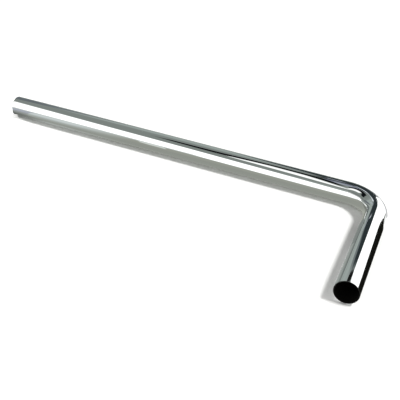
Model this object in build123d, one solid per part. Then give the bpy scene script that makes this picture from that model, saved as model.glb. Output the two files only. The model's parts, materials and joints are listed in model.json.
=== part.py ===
"""Chrome-plated floor pipe for a washbasin trap.

One brass tube, bent square once and cut square at both ends. The short leg pushes into the
trap's outlet nut and the long leg drops to the floor drain. It is modelled as it lies on a
flat surface: the bend's plane is level, the long leg runs along X from the bend to the left,
and the short leg runs along Y from the bend to the front.

Millimetres, +Z up. The origin is the middle of the pipe's bounding box, on the surface
that it lies on.
"""

import os

from build123d import *

# Driving dimensions
OUTSIDE_DIAMETER = 32.0  # standard waste tube
WALL = 1.0  # in the straight legs
FLOOR_LEG_REACH = 650.0  # floor end to the outside of the trap leg
TRAP_LEG_REACH = 250.0  # trap end to the outside of the floor leg
BEND_RADIUS = 50.0  # to the tube's centre line
EDGE_ROUNDING = 0.3  # deburred edges of both cut ends, inside and outside

# What bending does to the tube, at the middle of the bend
OUTSIDE_FLATTENING = 0.8  # the outside of the bend is drawn in by this much
OUTSIDE_THINNING = 0.2  # the wall on the outside of the bend stretches thinner
INSIDE_THICKENING = 0.2  # the wall on the inside of the bend is pushed thicker

# Sizes that follow
TUBE_RADIUS = OUTSIDE_DIAMETER / 2
BORE_RADIUS = TUBE_RADIUS - WALL
FLOOR_LEG_LENGTH = FLOOR_LEG_REACH - TUBE_RADIUS - BEND_RADIUS
TRAP_LEG_LENGTH = TRAP_LEG_REACH - TUBE_RADIUS - BEND_RADIUS
FLOOR_END_X = -FLOOR_LEG_REACH / 2
TRAP_END_Y = -TRAP_LEG_REACH / 2
BEND_CENTRE = Vector(FLOOR_END_X + FLOOR_LEG_LENGTH, TRAP_END_Y + TRAP_LEG_LENGTH, TUBE_RADIUS)

SQUARE_TURN = 90.0  # degrees
BEND_SECTIONS = 5  # five sections carry a fourth-order law along the bend exactly
LARGEST_ROUNDING = 0.4  # of the wall, so that a flat ring is left between the two rounded edges


def straight_leg(cut_plane, length):
    """A round tube of the given length, grown from its cut end."""
    ring = Circle(TUBE_RADIUS) - Circle(BORE_RADIUS)
    return extrude(cut_plane * ring, amount=length)


def bend_section(turned, radius, drawn_outside, drawn_inside):
    """The tube's section where the bend has turned by a share of its angle.

    Both halves are ellipses of the tube's full height. The change grows from nothing where
    the bend meets a leg, with no step in slope, to its whole size at the middle.
    """
    share = (4 * turned * (1 - turned)) ** 2
    outside = EllipticalCenterArc(
        (0, 0), radius - drawn_outside * share, radius, start_angle=-90, arc_size=180
    )
    inside = EllipticalCenterArc(
        (0, 0), radius - drawn_inside * share, radius, start_angle=90, arc_size=180
    )
    outward = Vector(0, 1, 0).rotate(Axis.Z, -SQUARE_TURN * turned)
    onward = Vector(1, 0, 0).rotate(Axis.Z, -SQUARE_TURN * turned)
    place = Plane(BEND_CENTRE + outward * BEND_RADIUS, x_dir=outward, z_dir=onward)
    return place * make_face([outside, inside])


def swept_bend(radius, drawn_outside, drawn_inside):
    """A solid rod bent through a square turn, with its section changing on the way."""
    steps = BEND_SECTIONS - 1
    sections = [
        bend_section(i / steps, radius, drawn_outside, drawn_inside) for i in range(BEND_SECTIONS)
    ]
    path = CenterArc(BEND_CENTRE, BEND_RADIUS, 90, -SQUARE_TURN)
    return sweep(sections, path=path, multisection=True)


def drawn_bend():
    """The bent stretch: flattened on its outside, thinner there and thicker on its inside."""
    outer = swept_bend(TUBE_RADIUS, OUTSIDE_FLATTENING, 0)
    bore = swept_bend(
        BORE_RADIUS, OUTSIDE_FLATTENING - OUTSIDE_THINNING, INSIDE_THICKENING
    )
    return outer - bore


def floor_pipe():
    """The whole pipe, with its cut ends deburred."""
    floor_end = Plane((FLOOR_END_X, BEND_CENTRE.Y + BEND_RADIUS, TUBE_RADIUS), z_dir=(1, 0, 0))
    trap_end = Plane((BEND_CENTRE.X + BEND_RADIUS, TRAP_END_Y, TUBE_RADIUS), z_dir=(0, 1, 0))
    pipe = drawn_bend()
    pipe += straight_leg(floor_end, FLOOR_LEG_LENGTH)
    pipe += straight_leg(trap_end, TRAP_LEG_LENGTH)
    cut_faces = [pipe.faces().sort_by(Axis.X)[0], pipe.faces().sort_by(Axis.Y)[0]]
    cut_edges = [edge for face in cut_faces for edge in face.edges()]
    return fillet(cut_edges, min(EDGE_ROUNDING, LARGEST_ROUNDING * WALL))


os.makedirs("parts", exist_ok=True)
export_step(floor_pipe(), "parts/floor_pipe.step")
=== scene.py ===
"""Looks of a chrome-plated floor pipe that lies on a pale studio floor.

Metres, +Z up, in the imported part's own frame. The pipe is made as the real one is: a straight
tube with deburred ends, which is then bent once. Polished chrome shows little but what stands
round it, so the studio's light and dark cards are placed as carefully as the pipe.
"""

import json
import math

import bpy
from mathutils import Matrix, Vector


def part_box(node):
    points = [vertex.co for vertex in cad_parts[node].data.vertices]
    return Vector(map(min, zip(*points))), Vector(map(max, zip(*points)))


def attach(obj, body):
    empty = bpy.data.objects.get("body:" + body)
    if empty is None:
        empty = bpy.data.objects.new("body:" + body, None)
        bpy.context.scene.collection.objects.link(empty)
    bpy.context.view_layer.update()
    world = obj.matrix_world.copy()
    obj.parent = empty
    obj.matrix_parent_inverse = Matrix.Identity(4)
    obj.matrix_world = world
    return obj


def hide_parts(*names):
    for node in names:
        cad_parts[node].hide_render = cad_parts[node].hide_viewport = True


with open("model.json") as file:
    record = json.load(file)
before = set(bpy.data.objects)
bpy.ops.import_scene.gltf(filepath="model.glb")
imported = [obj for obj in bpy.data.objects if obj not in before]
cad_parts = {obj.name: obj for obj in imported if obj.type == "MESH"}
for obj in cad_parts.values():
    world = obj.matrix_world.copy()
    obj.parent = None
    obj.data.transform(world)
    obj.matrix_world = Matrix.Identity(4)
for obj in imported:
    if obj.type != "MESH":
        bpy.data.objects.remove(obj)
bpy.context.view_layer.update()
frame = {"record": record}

MM = 0.001

# The pipe's sizes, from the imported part
NODE = "floor_pipe"
pipe_low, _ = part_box(NODE)
mounts = {mount["name"]: mount for mount in frame["record"]["mounts"]}
EDGE_ROUNDING = 0.3 * MM  # deburred edges of the cut ends
TUBE_RADIUS = mounts["floor_end"]["dims"]["r_mm"] * MM
BORE_RADIUS = mounts["floor_bore"]["dims"]["r_mm"] * MM
FLOOR_LEG = mounts["floor_end"]["dims"]["length_mm"] * MM + EDGE_ROUNDING
TRAP_LEG = mounts["trap_end"]["dims"]["length_mm"] * MM + EDGE_ROUNDING
FLOOR_LEG_Y = mounts["floor_end"]["pos_m"][1]
TRAP_LEG_X = mounts["trap_end"]["pos_m"][0]
BEND_RADIUS = TRAP_LEG_X - (pipe_low.x + FLOOR_LEG)
BEND_LENGTH = BEND_RADIUS * math.pi / 2
TUBE_LENGTH = FLOOR_LEG + BEND_LENGTH + TRAP_LEG
BEND_CENTRE = (TRAP_LEG_X - BEND_RADIUS, FLOOR_LEG_Y - BEND_RADIUS, TUBE_RADIUS)

# What bending does to the tube at the middle of the bend
OUTSIDE_DRAWN_IN = 0.8 * MM  # of the outer skin, on the outside of the bend
BORE_OUTSIDE_DRAWN_IN = 0.6 * MM  # of the bore, where the wall stretches thinner
BORE_INSIDE_DRAWN_IN = 0.2 * MM  # of the bore, where the wall is pushed thicker

# How finely the tube's mesh is divided
STEPS_ROUND = 160
STEPS_ALONG = 240
STEPS_PER_ROUNDING = 4
LEG_SHARE = 0.15  # of the steps along, on each straight leg; the bend has the rest
CHROME_ENDS = 0.006 * MM  # below the skin, where the chrome stops: past a flat of the round, short of a rounded edge, so the rounded edges get the ring's painted shade

# Attribute that keeps a point's place on the tube before it was bent
STRAIGHT_PLACE = "straight_place"


def linear(hex_colour):
    """An sRGB hex colour as linear light, with full alpha."""
    shares = [int(hex_colour[i:i + 2], 16) / 255 for i in (1, 3, 5)]
    light = [s / 12.92 if s <= 0.04045 else ((s + 0.055) / 1.055) ** 2.4 for s in shares]
    return (*light, 1.0)


def add(tree, kind, inputs=None, **settings):
    """Adds a node. An input takes a value, a socket, or a node, which means its first output."""
    node = tree.nodes.new(kind)
    for name, value in settings.items():
        setattr(node, name, value)
    for place, value in (inputs or {}).items():
        if isinstance(value, bpy.types.Node):
            value = value.outputs[0]
        if isinstance(value, bpy.types.NodeSocket):
            tree.links.new(value, node.inputs[place])
        else:
            node.inputs[place].default_value = value
    return node


def new_material(name):
    """An empty node material and its output node."""
    material = bpy.data.materials.new(name)
    material.use_nodes = True
    material.node_tree.nodes.clear()
    return material, material.node_tree, add(material.node_tree, "ShaderNodeOutputMaterial")


# Finishes of the pipe

CHROME_TONE = "#CBCDCC"
WAVE_LENGTH = 45 * MM  # slow unevenness left by drawing and polishing the tube
WAVE_DEPTH = 0.010 * MM
BELT_LINE_SPACING = 1.6 * MM  # real belt lines are under 0.1 mm, drawn coarser so that they show
BELT_LINE_DEPTH = 0.00025 * MM
SMUDGE_SIZE = 30 * MM


def polished_chrome():
    """Bright chrome plate over belt-polished brass: a hard, cool mirror.

    The eye gets the studio in it, a little out of true where the tube is uneven, with a faint
    haze of belt lines round the tube and of handling marks.
    """
    material, tree, output = new_material("polished_chrome_plate")
    place = add(tree, "ShaderNodeAttribute", attribute_name=STRAIGHT_PLACE).outputs["Vector"]
    wave = add(tree, "ShaderNodeTexNoise", {"Vector": place, "Scale": 1 / WAVE_LENGTH, "Detail": 1.0})
    along_lines = add(tree, "ShaderNodeMapping", {"Vector": place, "Scale": (0.04, 0.04, 1.0)})
    lines = add(
        tree, "ShaderNodeTexNoise",
        {"Vector": along_lines, "Scale": 1 / BELT_LINE_SPACING, "Detail": 3.0, "Roughness": 0.7},
    )
    smudges = add(
        tree, "ShaderNodeTexNoise",
        {"Vector": place, "Scale": 1 / SMUDGE_SIZE, "Detail": 5.0, "Roughness": 0.6, "Distortion": 0.6},
    )
    uneven = add(
        tree, "ShaderNodeBump",
        {"Height": wave.outputs["Fac"], "Strength": 1.0, "Distance": WAVE_DEPTH},
    )
    lined = add(
        tree, "ShaderNodeBump",
        {"Height": lines.outputs["Fac"], "Strength": 1.0, "Distance": BELT_LINE_DEPTH, "Normal": uneven},
    )
    haze = add(
        tree, "ShaderNodeMapRange",
        {"Value": smudges.outputs["Fac"], "From Min": 0.35, "From Max": 0.75,
         "To Min": 0.03, "To Max": 0.075},
    )
    plate = add(
        tree, "ShaderNodeBsdfPrincipled",
        {"Base Color": linear(CHROME_TONE), "Metallic": 1.0, "Roughness": haze, "Normal": lined},
    )
    tree.links.new(plate.outputs["BSDF"], output.inputs["Surface"])
    return material


def sawn_ring_painted_dark():
    """The sawn ring at each end, with fine saw lines, painted nearly black as shade so the end reads as
    one dark opening.
    """
    material, tree, output = new_material("sawn_ring_painted_shade")
    place = add(tree, "ShaderNodeTexCoord").outputs["Object"]
    lines = add(tree, "ShaderNodeTexNoise", {"Vector": place, "Scale": 1 / (0.5 * MM), "Detail": 2.0})
    tone = add(
        tree, "ShaderNodeMix",
        {"Factor": lines.outputs["Fac"], "A": linear("#0B0A09"), "B": linear("#181715")},
        data_type="RGBA",
    )
    edge = add(
        tree, "ShaderNodeBsdfPrincipled",
        {"Base Color": tone.outputs[2], "Roughness": 0.6, "Specular IOR Level": 0.15},
    )
    tree.links.new(edge.outputs["BSDF"], output.inputs["Surface"])
    return material


def bore_tarnish_and_painted_shade():
    """Bare brass inside the tube, with blotches of tarnish, painted nearly black as the shade inside the
    bore: it swallows light a few centimetres in.
    """
    material, tree, output = new_material("bore_tarnish_painted_shade")
    place = add(tree, "ShaderNodeTexCoord").outputs["Object"]
    blotches = add(tree, "ShaderNodeTexNoise", {"Vector": place, "Scale": 1 / (9 * MM), "Detail": 4.0})
    tone = add(
        tree, "ShaderNodeMix",
        {"Factor": blotches.outputs["Fac"], "A": linear("#050505"), "B": linear("#151310")},
        data_type="RGBA",
    )
    bore = add(
        tree, "ShaderNodeBsdfPrincipled",
        {"Base Color": tone.outputs[2], "Roughness": 0.6, "Specular IOR Level": 0.15},
    )
    tree.links.new(bore.outputs["BSDF"], output.inputs["Surface"])
    return material


# The tube

TUBE_SIZES = {
    "Tube Radius": TUBE_RADIUS,
    "Bore Radius": BORE_RADIUS,
    "Wall": TUBE_RADIUS - BORE_RADIUS,
    "Wall Middle": (TUBE_RADIUS + BORE_RADIUS) / 2,
    "Edge Rounding": EDGE_ROUNDING,
    "Floor Leg": FLOOR_LEG,
    "Trap Leg": TRAP_LEG,
    "Tube Length": TUBE_LENGTH,
    "Half Length": TUBE_LENGTH / 2,
    "Bend Length": BEND_LENGTH,
    "Bend Radius": BEND_RADIUS,
    "Bend Centre": BEND_CENTRE,
    "Outside Drawn In": OUTSIDE_DRAWN_IN,
    "Bore Outside Drawn In": BORE_OUTSIDE_DRAWN_IN,
    "Bore Inside Drawn In": BORE_INSIDE_DRAWN_IN,
    "Steps Round": STEPS_ROUND,
    "Steps Along": STEPS_ALONG,
}
SOCKET_KINDS = {float: "NodeSocketFloat", int: "NodeSocketInt", tuple: "NodeSocketVector"}


def wall_section(tree, size):
    """The wall cut lengthwise: a long thin rectangle with rounded corners, along Y from the trap end.

    Its long sides are divided so that most of the points lie in the stretch to be bent, and the
    steps shorten toward the ends, which keeps the rounded edges out of the chrome's shading.
    """
    rectangle = add(
        tree, "GeometryNodeCurvePrimitiveQuadrilateral",
        {"Width": size["Wall"], "Height": size["Tube Length"]}, mode="RECTANGLE",
    )
    rounded = add(
        tree, "GeometryNodeFilletCurve",
        {"Curve": rectangle, "Count": STEPS_PER_ROUNDING, "Radius": size["Edge Rounding"]}, mode="POLY",
    )
    here = add(tree, "GeometryNodeInputPosition")
    next_point = add(tree, "GeometryNodeOffsetPointInCurve", {"Offset": 1})
    there = add(
        tree, "GeometryNodeFieldAtIndex",
        {"Value": here, "Index": next_point.outputs["Point Index"]}, data_type="FLOAT_VECTOR",
    )
    gap = add(tree, "ShaderNodeVectorMath", {0: here, 1: there}, operation="DISTANCE")
    long_side = add(
        tree, "FunctionNodeCompare", {0: gap.outputs["Value"], 1: size["Trap Leg"]},
        data_type="FLOAT", operation="GREATER_THAN",
    )
    cuts = add(
        tree, "GeometryNodeSwitch",
        {"Switch": long_side, "False": 0, "True": size["Steps Along"]}, input_type="INT",
    )
    divided = add(tree, "GeometryNodeSubdivideCurve", {"Curve": rounded, "Cuts": cuts})
    parts = add(tree, "ShaderNodeSeparateXYZ", {"Vector": here})
    share = add(
        tree, "ShaderNodeMath", {0: parts.outputs["Y"], 1: size["Tube Length"]}, operation="DIVIDE",
    )
    share = add(tree, "ShaderNodeMath", {0: share, 1: 0.5}, operation="ADD")
    stretches = (
        (0.0, LEG_SHARE, "Trap Leg", "SMOOTHSTEP"),
        (LEG_SHARE, 1 - LEG_SHARE, "Bend Length", "LINEAR"),
        (1 - LEG_SHARE, 1.0, "Floor Leg", "SMOOTHSTEP"),
    )
    reach = None
    for start, end, length, spacing in stretches:
        part = add(
            tree, "ShaderNodeMapRange",
            {"Value": share, "From Min": start, "From Max": end, "To Min": 0.0, "To Max": size[length]},
            interpolation_type=spacing,
        )
        reach = add(tree, "ShaderNodeMath", {0: reach, 1: part}, operation="ADD") if reach else part
    reach = add(tree, "ShaderNodeMath", {0: reach, 1: size["Half Length"]}, operation="SUBTRACT")
    place = add(tree, "ShaderNodeCombineXYZ", {"X": parts.outputs["X"], "Y": reach})
    from_middle = add(tree, "ShaderNodeMath", {0: parts.outputs["Y"]}, operation="ABSOLUTE")
    from_end = add(
        tree, "ShaderNodeMath", {0: size["Half Length"], 1: from_middle}, operation="SUBTRACT",
    )
    clear_of_end = add(
        tree, "FunctionNodeCompare", {0: from_end, 1: size["Wall"]},
        data_type="FLOAT", operation="GREATER_THAN",
    )
    return add(
        tree, "GeometryNodeSetPosition",
        {"Geometry": divided, "Selection": clear_of_end, "Position": place},
    )


def straight_tube(tree, size, section):
    """The wall section turned once round the Z axis, which is the tube's own axis."""
    circle = add(
        tree, "GeometryNodeCurvePrimitiveCircle",
        {"Resolution": size["Steps Round"], "Radius": size["Wall Middle"]}, mode="RADIUS",
    )
    turned = add(tree, "GeometryNodeCurveToMesh", {"Curve": circle, "Profile Curve": section})
    here = add(tree, "GeometryNodeInputPosition")
    return add(
        tree, "GeometryNodeStoreNamedAttribute",
        {"Geometry": turned, "Name": STRAIGHT_PLACE, "Value": here},
        data_type="FLOAT_VECTOR", domain="POINT",
    )


def depth_in_wall(tree):
    """How far a point of the straight tube lies from the tube's axis."""
    place = add(
        tree, "GeometryNodeInputNamedAttribute", {"Name": STRAIGHT_PLACE}, data_type="FLOAT_VECTOR",
    )
    parts = add(tree, "ShaderNodeSeparateXYZ", {"Vector": place})
    flat = add(tree, "ShaderNodeCombineXYZ", {"X": parts.outputs["X"], "Y": parts.outputs["Y"]})
    depth = add(tree, "ShaderNodeVectorMath", {0: flat}, operation="LENGTH")
    return depth.outputs["Value"], parts


def bent_tube(tree, size, tube):
    """The straight tube laid down and bent, its X side to the outside of the bend.

    The outside of the bend is drawn in, by nothing where the bend meets a leg and by its whole
    amount at the middle, so the wall there is thinner and the section flatter.
    """
    depth, parts = depth_in_wall(tree)
    reach = add(
        tree, "ShaderNodeMath", {0: parts.outputs["Z"], 1: size["Half Length"]}, operation="ADD",
    )
    past = add(tree, "ShaderNodeMath", {0: reach, 1: size["Floor Leg"]}, operation="SUBTRACT")
    in_bend = add(
        tree, "ShaderNodeClamp", {"Value": past, "Min": 0.0, "Max": size["Bend Length"]},
    )
    off_bend = add(tree, "ShaderNodeMath", {0: past, 1: in_bend}, operation="SUBTRACT")
    angle = add(tree, "ShaderNodeMath", {0: in_bend, 1: size["Bend Radius"]}, operation="DIVIDE")
    turned = add(tree, "ShaderNodeMath", {0: in_bend, 1: size["Bend Length"]}, operation="DIVIDE")
    to_go = add(tree, "ShaderNodeMath", {0: 1.0, 1: turned}, operation="SUBTRACT")
    hump = add(tree, "ShaderNodeMath", {0: turned, 1: to_go}, operation="MULTIPLY")
    hump = add(tree, "ShaderNodeMath", {0: hump, 1: 4.0}, operation="MULTIPLY")
    hump = add(tree, "ShaderNodeMath", {0: hump, 1: 2.0}, operation="POWER")
    wall_range = {"Value": depth, "From Min": size["Bore Radius"], "From Max": size["Tube Radius"]}
    outside = add(
        tree, "ShaderNodeMapRange",
        {**wall_range, "To Min": size["Bore Outside Drawn In"], "To Max": size["Outside Drawn In"]},
    )
    inside = add(
        tree, "ShaderNodeMapRange",
        {**wall_range, "To Min": size["Bore Inside Drawn In"], "To Max": 0.0},
    )
    is_outside = add(
        tree, "FunctionNodeCompare", {0: parts.outputs["X"], 1: 0.0},
        data_type="FLOAT", operation="GREATER_THAN",
    )
    drawn = add(
        tree, "GeometryNodeSwitch",
        {"Switch": is_outside, "False": inside, "True": outside}, input_type="FLOAT",
    )
    drawn = add(tree, "ShaderNodeMath", {0: drawn, 1: hump}, operation="MULTIPLY")
    drawn = add(tree, "ShaderNodeMath", {0: drawn, 1: depth}, operation="DIVIDE")
    kept = add(tree, "ShaderNodeMath", {0: 1.0, 1: drawn}, operation="SUBTRACT")
    across = add(tree, "ShaderNodeMath", {0: parts.outputs["X"], 1: kept}, operation="MULTIPLY")
    from_centre = add(tree, "ShaderNodeMath", {0: size["Bend Radius"], 1: across}, operation="ADD")
    sine = add(tree, "ShaderNodeMath", {0: angle}, operation="SINE")
    cosine = add(tree, "ShaderNodeMath", {0: angle}, operation="COSINE")
    less_sine = add(tree, "ShaderNodeMath", {0: sine, 1: -1.0}, operation="MULTIPLY")
    outward = add(tree, "ShaderNodeCombineXYZ", {"X": sine, "Y": cosine})
    onward = add(tree, "ShaderNodeCombineXYZ", {"X": cosine, "Y": less_sine})
    upward = add(tree, "ShaderNodeCombineXYZ", {"Z": parts.outputs["Y"]})
    out_step = add(tree, "ShaderNodeVectorMath", {0: outward, "Scale": from_centre}, operation="SCALE")
    on_step = add(tree, "ShaderNodeVectorMath", {0: onward, "Scale": off_bend}, operation="SCALE")
    place = add(tree, "ShaderNodeVectorMath", {0: size["Bend Centre"], 1: out_step}, operation="ADD")
    place = add(tree, "ShaderNodeVectorMath", {0: place, 1: on_step}, operation="ADD")
    place = add(tree, "ShaderNodeVectorMath", {0: place, 1: upward}, operation="ADD")
    return add(tree, "GeometryNodeSetPosition", {"Geometry": tube, "Position": place})


def finished_tube(tree, size, tube):
    """Chrome outside, bare brass inside, and a sawn ring with rounded edges between; ring and bore are
    painted nearly black as shade.
    """
    depth, _ = depth_in_wall(tree)
    chrome_from = add(
        tree, "ShaderNodeMath", {0: size["Tube Radius"], 1: CHROME_ENDS}, operation="SUBTRACT",
    )
    bore_to = add(
        tree, "ShaderNodeMath", {0: size["Bore Radius"], 1: size["Edge Rounding"]}, operation="ADD",
    )
    # The ring, its rounded edges and the bore are painted dark as shade; the chrome stops short of the
    # rounded edges.
    painted_dark_ring_and_bore = add(
        tree, "FunctionNodeCompare", {0: depth, 1: chrome_from},
        data_type="FLOAT", operation="LESS_THAN",
    )
    in_bore = add(
        tree, "FunctionNodeCompare", {0: depth, 1: bore_to},
        data_type="FLOAT", operation="LESS_THAN",
    )
    smooth = add(tree, "GeometryNodeSetShadeSmooth", {"Geometry": tube, "Shade Smooth": True})
    shape = add(tree, "GeometryNodeRealizeInstances", {"Geometry": smooth})
    finishes = ((True, polished_chrome()), (painted_dark_ring_and_bore, sawn_ring_painted_dark()), (in_bore, bore_tarnish_and_painted_shade()))
    for chosen, material in finishes:
        shape = add(
            tree, "GeometryNodeSetMaterial",
            {"Geometry": shape, "Selection": chosen, "Material": material},
        )
    return shape


def make_tube():
    """The whole pipe as one plain mesh at its place."""
    tree = bpy.data.node_groups.new("bent_tube", "GeometryNodeTree")
    tree.interface.new_socket("Geometry", in_out="OUTPUT", socket_type="NodeSocketGeometry")
    sockets = {}
    for name, value in TUBE_SIZES.items():
        kind = SOCKET_KINDS[type(value)]
        sockets[name] = tree.interface.new_socket(name, in_out="INPUT", socket_type=kind)
    size = add(tree, "NodeGroupInput").outputs
    shape = straight_tube(tree, size, wall_section(tree, size))
    shape = finished_tube(tree, size, bent_tube(tree, size, shape))
    add(tree, "NodeGroupOutput", {"Geometry": shape})
    maker = bpy.data.objects.new("tube_maker", bpy.data.meshes.new("tube_maker"))
    bpy.context.scene.collection.objects.link(maker)
    modifier = maker.modifiers.new("bent_tube", "NODES")
    modifier.node_group = tree
    for name, value in TUBE_SIZES.items():
        modifier[sockets[name].identifier] = value
    evaluated = maker.evaluated_get(bpy.context.evaluated_depsgraph_get())
    mesh = bpy.data.meshes.new_from_object(evaluated)
    bpy.data.objects.remove(maker)
    tube = bpy.data.objects.new("bent_chrome_tube", mesh)
    bpy.context.scene.collection.objects.link(tube)
    return tube


tube = make_tube()
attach(tube, "root")
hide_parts(NODE)

# The studio

FLOOR_HALF_SIZE = 12.0
FLOOR_TONE = "#F2F2F0"
DOME_RADIUS = 11.0
CHROME_SHARE = linear(CHROME_TONE)[1]  # of the light that the plate gives back
WHITE_GLOW = 1.35  # white cards stand a little over full white in the chrome
WHITE = "#FFFFFF"

# Places of the cards, in millimetres
CARD_HEIGHT = 330  # of most cards overhead
SECOND_HEIGHT = 496  # of the smaller light over them
HIGH_HEIGHT = 1000  # of the highest card
LOW_HEIGHT = 80  # of two small cards close over the bend
KEY_FRONT = -4000
SLOT_BACK = 1990
LEFT_WALL = -4000
FRONT_WALL = -3500
BACK_WALL = 2000
BLACK_BACK = 500  # how far back the low black card stands
BESIDE_TRAP_LEG = 288
INSIDE_BEND = 260  # just past the floor leg, which doesn't see the card there
WALL_FOOT = -5  # a little under the floor
FLOOR_END = 6000
FLOOR_SPLIT = 318  # under the trap leg, where the left and right halves of the floor meet
PIPE_BACK = 125  # behind the floor leg
HARD_ENDS = (False, False)


def seen_in_chrome_only(obj):
    """Makes a card show in the pipe and nowhere else."""
    obj.visible_camera = False
    obj.visible_diffuse = False
    obj.visible_transmission = False
    obj.visible_volume_scatter = False
    obj.visible_shadow = False


def glowing_card(tone, glow=1.0):
    """A card with the tone that it should have in the chrome, thinning out along its edges."""
    material, tree, output = new_material("studio_card")
    cover = add(tree, "ShaderNodeAttribute", attribute_name="cover").outputs["Fac"]
    clear = add(tree, "ShaderNodeBsdfTransparent")
    light = add(tree, "ShaderNodeEmission", {"Color": linear(tone), "Strength": glow / CHROME_SHARE})
    card = add(tree, "ShaderNodeMixShader", {0: cover, 1: clear, 2: light})
    tree.links.new(card.outputs[0], output.inputs["Surface"])
    material.cycles.emission_sampling = "NONE"
    return material


def new_card(name, points, faces, cover, tone, glow):
    """A card from its points and faces, with how well each point covers what is behind it."""
    mesh = bpy.data.meshes.new(name)
    mesh.from_pydata(points, [], faces)
    mesh.attributes.new("cover", "FLOAT", "POINT").data.foreach_set("value", cover)
    mesh.materials.append(glowing_card(tone, glow))
    card = bpy.data.objects.new(name, mesh)
    bpy.context.scene.collection.objects.link(card)
    seen_in_chrome_only(card)
    return card


def soft_card(name, stations, place, tone, soft=0.0, soft_ends=(True, True), glow=1.0):
    """A flat card of any outline: stations (along, near edge, far edge) in millimetres.

    place turns a station's along and across into a point. Soft edges fade out over soft.
    """
    points = []
    cover = []
    last = len(stations) - 1
    fading = {0: soft_ends[0], last: soft_ends[1]}
    for i, (along, near, far) in enumerate(stations):
        edge = min(soft, (far - near) / 2)
        for across, share in ((near, 0.0), (near + edge, 1.0), (far - edge, 1.0), (far, 0.0)):
            points.append([c * MM for c in place(along, across)])
            cover.append(0.0 if soft and fading.get(i) else share if soft else 1.0)
    faces = [
        (4 * i + j, 4 * i + j + 1, 4 * i + j + 5, 4 * i + j + 4)
        for i in range(last) for j in range(3)
    ]
    return new_card(name, points, faces, cover, tone, glow)


def level_card(name, stations, tone, height, **edges):
    """A level card: stations (x, front, back), all in millimetres."""
    return soft_card(name, stations, lambda x, y: (x, y, height), tone, **edges)


def upright_card(name, stations, tone, y, **edges):
    """An upright card that faces the front: stations (x, low, high), all in millimetres."""
    return soft_card(name, stations, lambda x, z: (x, y, z), tone, **edges)


def flat_card(name, corners, tone, glow=1.0):
    """A card with hard edges between its corners, in millimetres."""
    points = [tuple(c * MM for c in corner) for corner in corners]
    return new_card(name, points, [tuple(range(len(points)))], [1.0] * len(points), tone, glow)


def side_wall(name, x, depth, height, tone, glow=1.0):
    """An upright card along the side of the set, from one depth and height to another."""
    (front, back), (low, high) = depth, height
    flat_card(name, [(x, front, low), (x, back, low), (x, back, high), (x, front, high)], tone, glow)


def back_wall(name, y, width, height, tone, glow=1.0):
    """An upright card across the set, from one width and height to another."""
    upright_card(name, [(x, *height) for x in width], tone, y, glow=glow)


def from_front(front, backs):
    """Stations of a card from one front line to its own back edge, (along, back)."""
    return [(along, front, back) for along, back in backs]


def to_back(back, fronts):
    """Stations of a card from its own front edge, (along, front), to one back line."""
    return [(along, front, back) for along, front in fronts]


def studio_dome():
    """The dim room round the set."""
    bpy.ops.mesh.primitive_uv_sphere_add(segments=48, ring_count=24, radius=DOME_RADIUS)
    dome = bpy.context.object
    dome.name = "studio_dome"
    material, tree, output = new_material("dim_room")
    light = add(tree, "ShaderNodeEmission", {"Color": linear("#939A97"), "Strength": 1 / CHROME_SHARE})
    tree.links.new(light.outputs[0], output.inputs["Surface"])
    material.cycles.emission_sampling = "NONE"
    dome.data.materials.append(material)
    seen_in_chrome_only(dome)


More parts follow.
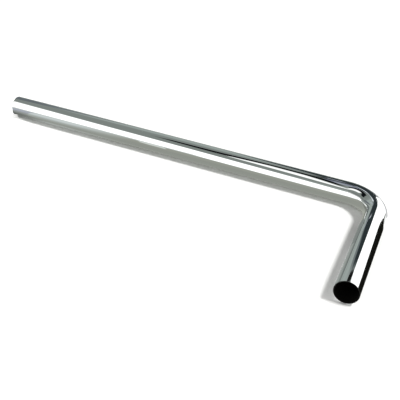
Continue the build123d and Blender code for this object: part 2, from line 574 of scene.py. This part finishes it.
def overhead_cards():
    """White and dark cards just above the pipe, which its upper side shows as long bands."""
    level_card(
        "key_card",
        from_front(KEY_FRONT, [
            (-4000, -600), (-2000, -330), (-1000, -200), (-700, -120), (-600, -30), (-549, 10),
            (-400, -40), (-300, -75), (-200, -105), (-100, -150), (0, -220), (100, -295),
            (200, -425), (300, -520), (600, -800),
        ]),
        WHITE, CARD_HEIGHT, soft=70, glow=WHITE_GLOW,
    )
    level_card(
        "grey_roof",
        [(-1240, -450, 600), (-800, -450, 600), (-40, -450, 600), (190, -450, 570), (228, -450, 460)],
        "#7C827F", SECOND_HEIGHT + 14, soft=125,
    )
    level_card(
        "second_light",
        [(-64, -9, 38), (-50, -21, 101), (-29, -34, 171), (-6, -43, 187), (16, -56, 179),
         (62, -84, 160), (119, -126, 138), (157, -165, 60), (183, -189, -24), (203, -196, -79),
         (218, -196, -118)],
        WHITE, SECOND_HEIGHT, soft=44, soft_ends=(False, True), glow=1.1,
    )
    level_card(
        "dark_flag",
        [(-195, 95, 115), (-140, 65, 165), (-90, 45, 172), (-40, 35, 180), (0, 62, 205), (40, 98, 235),
         (80, 126, 255), (120, 122, 250), (150, 110, 245), (175, 80, 235), (195, 48, 190),
         (210, 30, 140), (230, 20, 108)],
        "#0D1112", CARD_HEIGHT - 5, soft=22,
    )
    level_card(
        "dark_flag_back", [(140, 262, 300), (165, 245, 312), (190, 245, 312), (215, 258, 302)],
        "#1A1F22", CARD_HEIGHT - 2, soft=12,
    )
    level_card(
        "blue_strip", [(165, 330, 350), (180, 220, 350), (192, 140, 320), (242, 120, 285)],
        "#7A7F8C", CARD_HEIGHT - 1, soft=8, soft_ends=HARD_ENDS,
    )
    level_card(
        "light_spot", [(196, 150, 200), (212, 138, 195), (236, 132, 195)],
        "#A8ACB4", CARD_HEIGHT - 3, soft=8,
    )
    level_card(
        "light_bar",
        [(257, 136, 140), (262, 134, 143), (266, 131, 143), (269, 131, 142), (273, 138, 144)],
        "#D4D8E0", LOW_HEIGHT, soft=2,
    )
    level_card(
        "pale_back", [(-700, 280, 3000), (-400, 280, 3000), (0, 270, 3000), (120, 320, 3000)],
        "#969E9B", CARD_HEIGHT + 6, soft=130,
    )
    level_card(
        "dim_left", [(-1500, 300, 1300), (-800, 200, 1200), (-560, 180, 1100), (-430, 180, 1000)],
        "#60656A", CARD_HEIGHT + 4, soft=120,
    )
    level_card(
        "slot_shade",
        to_back(SLOT_BACK, [
            (-270, 980), (-160, 850), (-90, 730), (-20, 560), (50, 440), (120, 365), (180, 325),
            (215, 312), (312, 300), (560, 300),
        ]),
        "#686F70", CARD_HEIGHT - 1.5, soft=50, soft_ends=(True, False),
    )
    level_card(
        "dark_slot",
        to_back(SLOT_BACK, [
            (-200, 980), (-110, 850), (-50, 730), (0, 620), (50, 560), (100, 480), (145, 385),
            (175, 350), (200, 328), (312, 315), (560, 320),
        ]),
        "#2A3133", CARD_HEIGHT - 2, soft=45, soft_ends=(True, False),
    )
    level_card(
        "light_line",
        [(214, 150, 160), (219, 148, 163), (240, 149, 164), (252, 153, 165)],
        "#B8BCC8", LOW_HEIGHT, soft=6,
    )
    level_card(
        "black_bar",
        [(145, 310, 352), (170, 296, 346), (212, 272, 332), (259, 266, 322), (300, 266, 314),
         (335, 266, 302)],
        "#0C0C0A", CARD_HEIGHT - 6, soft=6,
    )
    level_card(
        "right_roof",
        [(254, 574, 598), (270, 556, 606), (284, 500, 612), (298, 390, 622), (312, 310, 780),
         (330, 280, 880), (345, 275, 950), (390, 275, 1250), (450, 275, 1600),
         (520, 275, SLOT_BACK), (3000, 275, SLOT_BACK)],
        WHITE, CARD_HEIGHT - 5, soft=12, soft_ends=(True, False), glow=WHITE_GLOW,
    )
    level_card(
        "far_dark", [(-3600, -150, 250), (-2400, -150, 280), (-1500, -200, 320), (-1040, -150, 330)],
        "#34393A", HIGH_HEIGHT, soft=90,
    )


def side_cards():
    """Upright cards: white to the left and in front, white at the right back over a black one.

    Small grey ones stand close to the pipe, beside the trap leg and inside the bend, and paint the
    pipe's shade there.
    """
    side_wall("left_wall", LEFT_WALL, (-4000, -450), (WALL_FOOT, 1000), WHITE, glow=WHITE_GLOW)
    side_wall("left_wall_low", LEFT_WALL, (-450, 150), (WALL_FOOT, 220), WHITE, glow=WHITE_GLOW)
    back_wall("front_wall", FRONT_WALL, (-4000, 3000), (WALL_FOOT, 2000), WHITE, glow=WHITE_GLOW)
    back_wall("dim_back_wall_left", BACK_WALL + 1, (-4000, 150), (WALL_FOOT, 180), "#666C6A")
    back_wall("dim_back_wall", BACK_WALL, (150, 540), (WALL_FOOT, 330), "#585E5E")
    back_wall("right_back_wall", BACK_WALL, (540, 4000), (WALL_FOOT, 3500), WHITE, glow=WHITE_GLOW)
    upright_card(
        "black_back",
        from_front(WALL_FOOT, [
            (588, 116), (600, 127), (651, 112), (701, 97), (756, 70), (1500, 40),
        ]),
        "#0C0D0B", BLACK_BACK, soft=6, soft_ends=HARD_ENDS,
    )
    # Painted shadow: grey cards beside the trap leg stand for the pipe's shadow on the floor there.
    side_wall("trap_side", BESIDE_TRAP_LEG, (-140, -20), (0, 24), "#8C918E")
    side_wall("trap_side_top", BESIDE_TRAP_LEG, (-140, -20), (24, 27.5), "#7A7F7C")
    side_wall("trap_side_bend", BESIDE_TRAP_LEG, (-20, 45), (0, 27.5), "#757A78")
    soft_card(
        "bend_shade", [(77, 26.4, 46), (81, 25.9, 46), (85, 25.9, 41), (88, 25.2, 35), (91, 25, 30)],
        lambda y, z: (INSIDE_BEND, y, z), "#6E7371", soft=8,
    )


def floor_cards():
    """The floor as the chrome sees it: white in front, greys close to the pipe that paint its shadow and
    contact shade, black at the right.
    """
    # Painted shadow: the grey that shows close to the pipe, where the white floor cards stop.
    level_card(
        "grey_floor",
        from_front(-FLOOR_END, [(-FLOOR_END, FLOOR_END), (FLOOR_SPLIT, FLOOR_END)]),
        "#95978F", -2.0, soft_ends=HARD_ENDS,
    )
    # Painted shade under and behind the floor leg, where it rests on the floor.
    level_card(
        "floor_behind", to_back(FLOOR_END, [(-FLOOR_END, 112), (FLOOR_SPLIT, 112)]),
        "#6C7270", -1.9, soft=10, soft_ends=HARD_ENDS,
    )
    # Painted shadow: a paler stretch of the pipe's shadow in front of the far end.
    level_card(
        "pale_left", to_back(PIPE_BACK, [(-420, -200), (-390, -200), (-235, -200), (-110, -200)]),
        "#C8CECE", -1.8, soft=4,
    )
    flat_card(
        "blue_floor", [(-340, 96, -1.7), (-300, 96, -1.7), (-345, -20, -1.7), (-395, -20, -1.7)],
        "#A6A9B3",
    )
    # Painted shadow: a light grey edge of the pipe's shadow just in front of the pipe.
    level_card(
        "front_floor",
        from_front(-FLOOR_END, [
            (-4000, 20), (-300, 20), (-45, 10), (0, 14), (100, 30), (200, 44), (FLOOR_SPLIT, 40),
        ]),
        "#C4C8C7", -1.6, soft=50, soft_ends=HARD_ENDS,
    )
    level_card(
        "white_floor",
        from_front(-FLOOR_END, [
            (-4000, -900), (-200, -500), (-100, -250), (-40, -60), (0, -35), (100, 2), (200, 24),
            (FLOOR_SPLIT, 30),
        ]),
        WHITE, -1.5, soft=60, soft_ends=HARD_ENDS, glow=WHITE_GLOW,
    )
    level_card(
        "bright_streak",
        [(-150, -90, -60), (-125, -70, 0), (-98, -40, 55), (-78, -15, 62), (-60, 20, 62), (-48, 45, 62)],
        "#CCD0CC", -1.4, soft=10, soft_ends=(True, False),
    )
    # Painted shade along the floor leg's contact with the floor.
    level_card(
        "contact_floor", to_back(PIPE_BACK, [(-345, 62), (-330, 62), (258, 62), (300, 62)]),
        "#8D908A", -1.2, soft=32,
    )
    level_card(
        "end_shade", to_back(PIPE_BACK, [(-350, 82), (-335, 82), (-318, 82), (-262, 82)]),
        "#666966", -1.1, soft=14,
    )
    level_card(
        "right_floor",
        from_front(-FLOOR_END, [(FLOOR_SPLIT, FLOOR_END), (FLOOR_END, FLOOR_END)]),
        "#E6E6E6", -2.0, soft_ends=HARD_ENDS,
    )
    level_card(
        "bend_edge",
        [(285, 160, 330), (300, 130, 330), (FLOOR_SPLIT, 104, 330), (332, 98, 310), (345, 108, 290),
         (356, 130, 270)],
        "#70727A", -1.0, soft=4, soft_ends=HARD_ENDS,
    )
    level_card(
        "black_floor",
        from_front(-400, [
            (FLOOR_SPLIT, 58), (326, 62), (331, 67), (337, 75), (346, 88), (350, 94), (362, 118),
            (376, 144), (392, 172), (430, 255), (560, 500), (1500, 500),
        ]),
        "#12120F", -0.9, soft=4, soft_ends=HARD_ENDS,
    )


def pale_floor():
    """Matt white card underfoot, which takes the pipe's shadow."""
    bpy.ops.mesh.primitive_plane_add(size=2 * FLOOR_HALF_SIZE)
    floor = bpy.context.object
    floor.name = "pale_floor"
    material, tree, output = new_material("matt_white_card")
    place = add(tree, "ShaderNodeTexCoord").outputs["Object"]
    grain = add(tree, "ShaderNodeTexNoise", {"Vector": place, "Scale": 1 / (2 * MM), "Detail": 2.0})
    tooth = add(
        tree, "ShaderNodeBump",
        {"Height": grain.outputs["Fac"], "Strength": 0.3, "Distance": 0.02 * MM},
    )
    card = add(
        tree, "ShaderNodeBsdfPrincipled",
        {"Base Color": linear(FLOOR_TONE), "Roughness": 0.9, "Specular IOR Level": 0.0, "Normal": tooth},
    )
    tree.links.new(card.outputs["BSDF"], output.inputs["Surface"])
    floor.data.materials.append(material)
    floor.visible_glossy = False


KEY_STRENGTH = 3.0
KEY_DIRECTION = Vector((0.63, 0.18, 1.0))  # from the pipe to the light: right, a little behind
KEY_SPREAD = math.radians(13)
FILL_STRENGTH = 0.455
END_FILL_SIZE = 8 * MM
END_FILLS = (  # small lamps that lift the shadow's tips: name, place in millimetres, watts
    ("floor_end_fill", (-390, 96, 42), 0.3),
    ("trap_end_fill", (263, -149, 11), 0.02),
)


def studio_lights():
    """A soft key from the right, which throws the shadow to the left, small lamps and even fill."""
    key = bpy.data.objects.new("key", bpy.data.lights.new("key", "SUN"))
    key.data.energy = KEY_STRENGTH
    key.data.angle = KEY_SPREAD
    key.rotation_euler = KEY_DIRECTION.to_track_quat("Z", "Y").to_euler()
    key.visible_glossy = False
    bpy.context.scene.collection.objects.link(key)
    for name, place, watts in END_FILLS:
        lamp = bpy.data.objects.new(name, bpy.data.lights.new(name, "POINT"))
        lamp.data.energy = watts
        lamp.data.shadow_soft_size = END_FILL_SIZE
        lamp.location = Vector(place) * MM
        lamp.visible_glossy = False
        bpy.context.scene.collection.objects.link(lamp)
    world = bpy.data.worlds.new("fill")
    world.use_nodes = True
    fill = world.node_tree.nodes["Background"]
    fill.inputs["Color"].default_value = (1.0, 1.0, 1.0, 1.0)
    fill.inputs["Strength"].default_value = FILL_STRENGTH
    bpy.context.scene.world = world
    world.cycles_visibility.glossy = False


# The photograph's view
CAMERA_PLACE = Vector((354.9, -753.2, 492.4)) * MM
CAMERA_AIM = Vector((68.6, 3.6, 0.0)) * MM
CAMERA_ROLL = math.radians(4.87)
CAMERA_LENS = 58.93  # on the default 36 mm sensor


def photo_camera():
    """A camera at the photograph's place, tilted a little as the photograph is."""
    camera = bpy.data.objects.new("photo_camera", bpy.data.cameras.new("photo_camera"))
    camera.data.lens = CAMERA_LENS
    forward = (CAMERA_AIM - CAMERA_PLACE).normalized()
    level = forward.to_track_quat("-Z", "Y").to_matrix()
    turn = level @ Matrix.Rotation(CAMERA_ROLL, 3, "Z")
    camera.matrix_world = Matrix.Translation(CAMERA_PLACE) @ turn.to_4x4()
    bpy.context.scene.collection.objects.link(camera)
    bpy.context.scene.camera = camera


studio_dome()
overhead_cards()
side_cards()
floor_cards()
pale_floor()
studio_lights()
photo_camera()
bpy.context.scene.view_settings.view_transform = "Standard"
